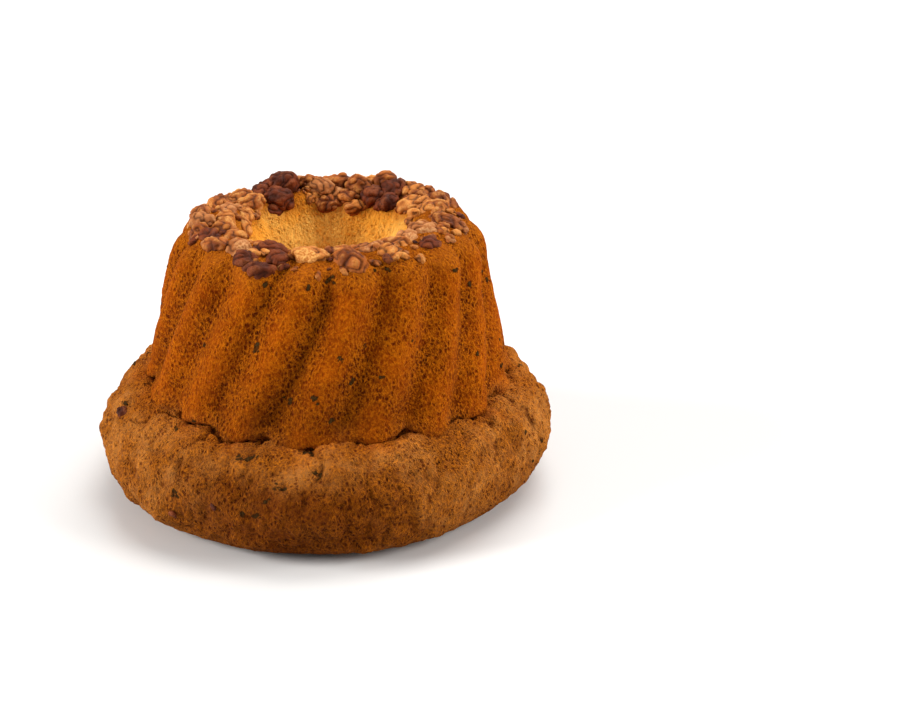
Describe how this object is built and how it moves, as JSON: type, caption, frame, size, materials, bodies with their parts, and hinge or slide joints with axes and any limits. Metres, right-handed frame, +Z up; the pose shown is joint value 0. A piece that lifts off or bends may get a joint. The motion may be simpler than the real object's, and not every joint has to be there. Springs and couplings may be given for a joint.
{
  "type": "kugelhopf",
  "caption": "Tall ring loaf with twisted flutes, a puffed foot, a blind hollow in its top and a crown of baked-in walnut pieces.",
  "frame": {"origin": "on the table, under the middle of the whole, at the centre of the flat sole", "axes": "+Z up, from the sole to the walnut crown; the pictured front faces -Y and its right side is +X"},
  "size_m": [0.2614, 0.2574, 0.1655],
  "materials": {
    "crust": "golden brown baked crust, matt, finely pored and creased",
    "walnut_dark": "dark roasted walnut skin, slightly glossy",
    "walnut_brown": "brown roasted walnut skin, satin",
    "walnut_tan": "tan roasted walnut, satin",
    "walnut_pale": "pale broken walnut flesh, satin"
  },
  "bodies": {
    "root": {"loaf": "crust", "walnut_01": "walnut_tan", "walnut_02": "walnut_brown", "walnut_03": "walnut_tan", "walnut_04": "walnut_brown", "walnut_05": "walnut_brown", "walnut_06": "walnut_brown", "walnut_07": "walnut_brown", "walnut_08": "walnut_tan", "walnut_09": "walnut_dark", "walnut_10": "walnut_dark", "walnut_11": "walnut_brown", "walnut_12": "walnut_brown", "walnut_13": "walnut_dark", "walnut_14": "walnut_tan", "walnut_15": "walnut_brown", "walnut_16": "walnut_tan", "walnut_17": "walnut_brown", "walnut_18": "walnut_pale", "walnut_19": "walnut_brown", "walnut_20": "walnut_brown", "walnut_21": "walnut_brown", "walnut_22": "walnut_pale", "walnut_23": "walnut_brown", "walnut_24": "walnut_pale", "walnut_25": "walnut_dark", "walnut_26": "walnut_dark", "walnut_27": "walnut_dark", "walnut_28": "walnut_dark", "walnut_29": "walnut_dark", "walnut_30": "walnut_tan", "walnut_31": "walnut_tan", "walnut_32": "walnut_brown", "walnut_33": "walnut_tan", "walnut_34": "walnut_pale", "walnut_35": "walnut_brown", "walnut_36": "walnut_tan", "walnut_37": "walnut_tan", "walnut_38": "walnut_pale", "walnut_39": "walnut_tan", "walnut_40": "walnut_brown", "walnut_41": "walnut_dark", "walnut_42": "walnut_tan", "walnut_43": "walnut_brown", "walnut_44": "walnut_pale", "walnut_45": "walnut_brown", "walnut_46": "walnut_dark", "walnut_47": "walnut_dark", "walnut_48": "walnut_dark", "walnut_49": "walnut_dark", "walnut_50": "walnut_tan", "walnut_51": "walnut_tan", "walnut_52": "walnut_brown", "walnut_53": "walnut_pale", "walnut_54": "walnut_tan", "walnut_55": "walnut_tan", "walnut_56": "walnut_pale", "walnut_57": "walnut_dark", "walnut_58": "walnut_pale", "walnut_59": "walnut_brown"}
  },
  "joints": []
}
